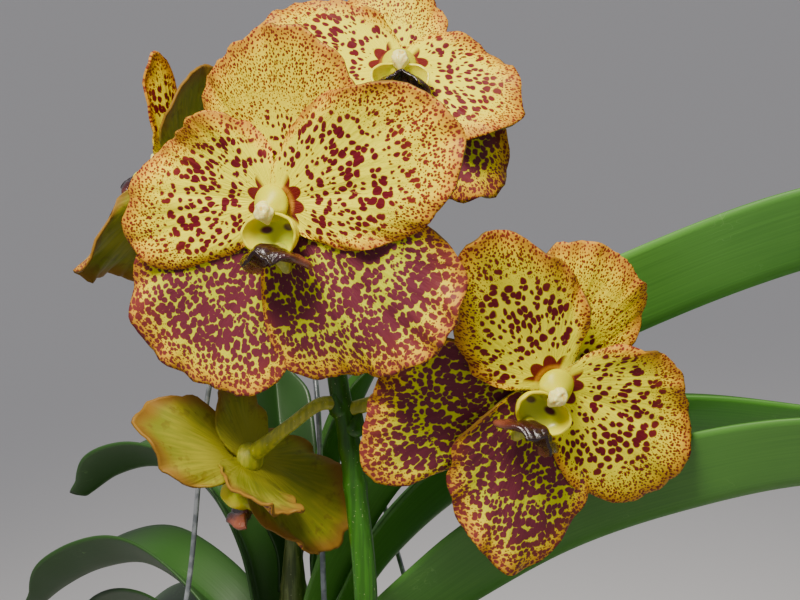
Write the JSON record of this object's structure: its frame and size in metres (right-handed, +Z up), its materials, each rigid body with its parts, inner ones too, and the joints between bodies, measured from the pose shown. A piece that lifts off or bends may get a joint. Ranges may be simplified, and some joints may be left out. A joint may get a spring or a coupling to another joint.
{
  "type": "potted vanda orchid",
  "caption": "Vanda orchid in a clay pot: strap leaves in two ranks, one flower spike with spotted yellow blooms, aerial roots and an upright wire hanger.",
  "frame": {"origin": "centre of the pot's flat underside", "axes": "+Z up along the stem; the blooms are seen from -Y with +X to the right"},
  "size_m": [0.3828, 0.2443, 0.4627],
  "materials": {
    "clay": "matt fired clay",
    "bark": "rough bark chips",
    "root": "dull grey-green root skin",
    "leaf": "smooth, slightly glossy leaf",
    "spike": "smooth green stalk",
    "tepal": "soft satin petal with maroon spots",
    "lip": "glossy waxy maroon",
    "column": "waxy cream",
    "wire": "galvanised wire"
  },
  "bodies": {
    "root": {"pot": "clay", "bark_mix": "bark", "stem_with_roots": "root", "leaf_right_1": "leaf", "leaf_right_2": "leaf", "leaf_right_3": "leaf", "leaf_right_4": "leaf", "leaf_right_5": "leaf", "leaf_left_1": "leaf", "leaf_left_2": "leaf", "leaf_left_3": "leaf", "leaf_left_4": "leaf", "leaf_left_5": "leaf", "leaf_crown_tall": "leaf", "leaf_crown_young": "leaf", "flower_spike": "spike", "flower_1_tepals": "tepal", "flower_1_lip": "lip", "flower_1_column": "column", "flower_2_tepals": "tepal", "flower_2_lip": "lip", "flower_2_column": "column", "flower_3_tepals": "tepal", "flower_3_lip": "lip", "flower_3_column": "column", "flower_4_tepals": "tepal", "flower_4_lip": "lip", "flower_4_column": "column", "flower_5_tepals": "tepal", "flower_5_lip": "lip", "flower_5_column": "column", "hanger_wire_left": "wire", "hanger_wire_front": "wire", "hanger_wire_right": "wire", "hanger_wire_back": "wire", "hanger_hook": "wire"}
  },
  "joints": []
}
